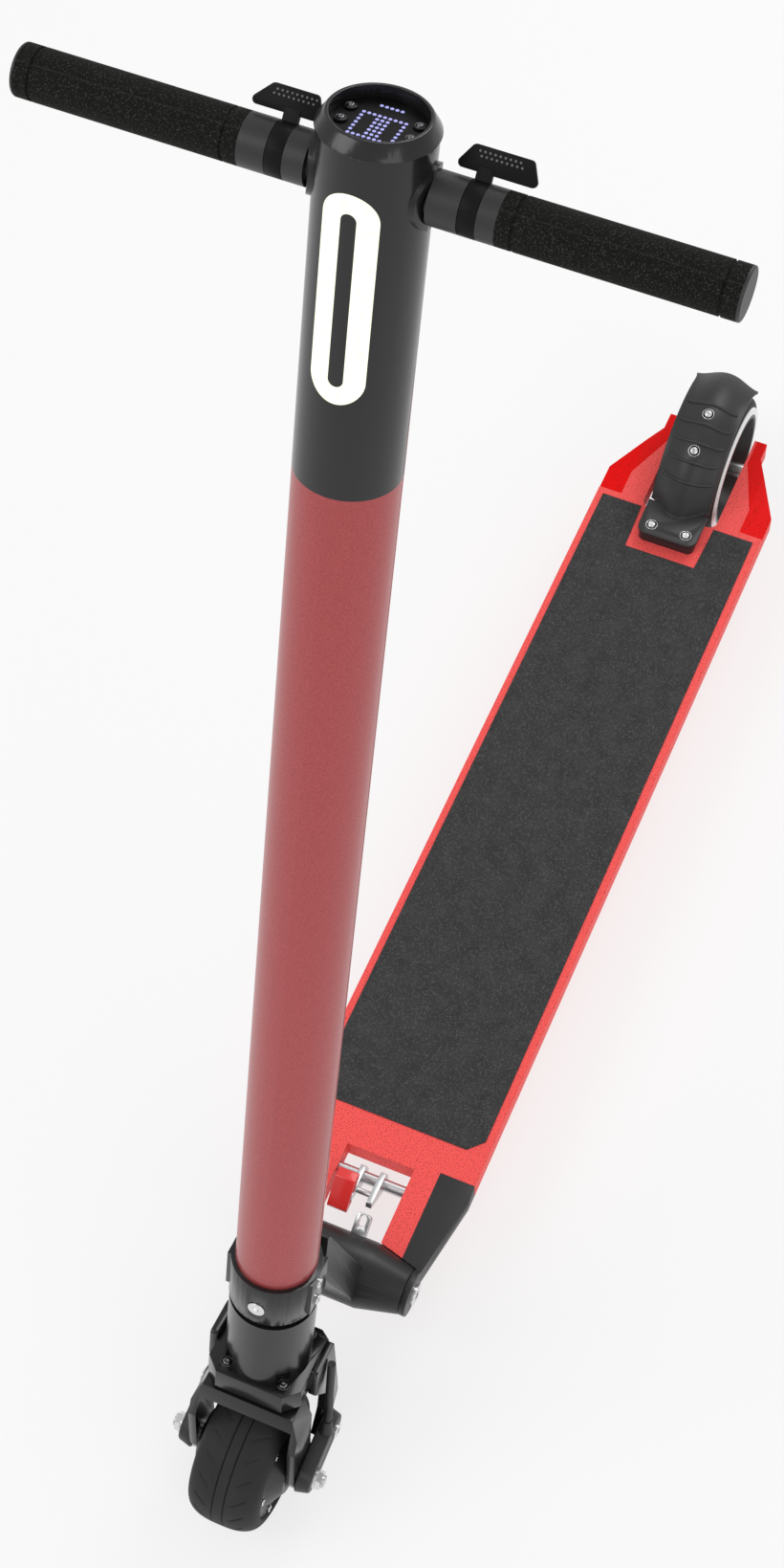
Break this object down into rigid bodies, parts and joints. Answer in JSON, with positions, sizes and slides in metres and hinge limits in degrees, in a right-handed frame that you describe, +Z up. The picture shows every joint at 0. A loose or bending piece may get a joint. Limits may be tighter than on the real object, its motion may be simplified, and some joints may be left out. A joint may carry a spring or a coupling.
{
  "type": "electric kick scooter",
  "caption": "Folding electric kick scooter with a hub motor in the front wheel, batteries in the tubular stem, a ring-shaped headlight, thumb paddles and a foot-brake fender.",
  "frame": {"origin": "on the ground in the mid-plane, under the middle of the length over both tyres", "axes": "+X forwards, +Y to the rider's left, +Z up"},
  "size_m": [1.155, 0.3822, 1.202],
  "materials": {
    "deck_red": "painted coral red with fine dark speckle",
    "stem_red": "painted satin metallic red",
    "pedal_red": "satin red paint",
    "gloss_black": "gloss black",
    "dark_plastic": "fine grained dark grey plastic",
    "hub_grey": "painted satin dark grey",
    "steel": "brushed steel",
    "bright_screw": "polished",
    "paddle_black": "satin black with two rows of small light dots",
    "black_screw": "black oxide",
    "tyre_rubber": "rubber with tread",
    "white_rim": "painted white",
    "black_spoke": "black moulding",
    "grip_foam": "soft black foam rubber",
    "end_plug": "matt black",
    "grip_tape_grey": "coarse dark grey grip surface",
    "headlight": "frosted, lit warm white",
    "display_black": "smoked black with violet dots of light",
    "battery_wrap": "shrink wrap",
    "holder_plastic": "moulded",
    "heat_sink": "cast",
    "winding": "enamelled copper and steel",
    "cable_black": "matt black sheath"
  },
  "bodies": {
    "deck": {"deck_shell": "deck_red", "belly_cover": "deck_red", "belly_screws": "bright_screw", "motor_controller": "heat_sink", "grip_tape": "grip_tape_grey", "arm_cover_left": "dark_plastic", "arm_cover_right": "dark_plastic", "lock_shaft": "steel", "hinge_bolts": "bright_screw", "rear_axle": "steel", "rear_axle_nuts": "bright_screw", "fender_block": "dark_plastic", "fender_base": "dark_plastic", "fender_base_screws": "bright_screw"},
    "neck": {"hub_housing": "hub_grey", "hub_bushes": "steel", "catch_plate": "steel", "collar": "gloss_black", "collar_screws": "bright_screw", "headset_bearings": "steel"},
    "latch": {"latch_links": "steel", "release_pedal": "pedal_red"},
    "steering": {"lower_tube": "gloss_black", "stem_tube": "stem_red", "battery_cells": "battery_wrap", "battery_end_plates": "holder_plastic", "headlight_ring": "headlight", "head_housing": "gloss_black", "cap_ring": "gloss_black", "display_panel": "display_black", "cap_screws": "black_screw", "handlebar": "gloss_black", "bar_sleeves": "dark_plastic", "lever_springs": "steel", "grips": "grip_foam", "bar_end_plugs": "end_plug", "fork_crown": "gloss_black", "crown_bolts": "black_screw", "fork_front_plate": "gloss_black", "fork_rear_legs": "gloss_black", "axle_covers": "dark_plastic", "axle_fasteners": "bright_screw", "motor_axle": "steel", "motor_stator": "winding", "motor_cable": "cable_black", "cable_relief": "dark_plastic"},
    "brake_lever": {"brake_paddle": "paddle_black"},
    "throttle_lever": {"throttle_paddle": "paddle_black"},
    "front_wheel": {"front_tyre": "tyre_rubber", "motor_shell": "hub_grey", "motor_covers": "hub_grey", "motor_cover_screws": "bright_screw", "motor_bearings": "steel"},
    "rear_wheel": {"rear_tyre": "tyre_rubber", "rear_rim": "white_rim", "rear_spokes": "black_spoke", "rear_bearings": "steel"},
    "fender": {"fender": "dark_plastic", "fender_screws": "bright_screw"}
  },
  "joints": [
    {"name": "fold", "type": "hinge", "parent": "deck", "child": "neck", "pos_m": [0.3555, 0, 0.07], "axis": [0, 1, 0], "range_deg": [-75, 0]},
    {"name": "latch_press", "type": "hinge", "parent": "deck", "child": "latch", "pos_m": [0.2795, 0, 0.07], "axis": [0, 1, 0], "range_deg": [0, 15], "stiffness_Nm_per_rad": 1, "springref_deg": -17.19},
    {"name": "steer", "type": "hinge", "parent": "neck", "child": "steering", "pos_m": [0.49476, 0, 0.06], "axis": [-0.2529, 0, 0.9675], "range_deg": [-50, 50]},
    {"name": "brake_press", "type": "hinge", "parent": "steering", "child": "brake_lever", "pos_m": [0.2072, 0, 1.16003], "axis": [0, 1, 0], "range_deg": [0, 20], "stiffness_Nm_per_rad": 0.3, "springref_deg": -17.19},
    {"name": "throttle_press", "type": "hinge", "parent": "steering", "child": "throttle_lever", "pos_m": [0.2072, 0, 1.16003], "axis": [0, 1, 0], "range_deg": [0, 20], "stiffness_Nm_per_rad": 0.3, "springref_deg": -17.19},
    {"name": "front_spin", "type": "hinge", "parent": "steering", "child": "front_wheel", "pos_m": [0.5175, 0, 0.06], "axis": [0, 1, 0], "continuous": true},
    {"name": "rear_spin", "type": "hinge", "parent": "deck", "child": "rear_wheel", "pos_m": [-0.5075, 0, 0.07], "axis": [0, 1, 0], "continuous": true},
    {"name": "fender_press", "type": "hinge", "parent": "deck", "child": "fender", "pos_m": [-0.4275, 0, 0.0946], "axis": [0, 1, 0], "range_deg": [-4, 0], "stiffness_Nm_per_rad": 8, "springref_deg": 8.59}
  ]
}
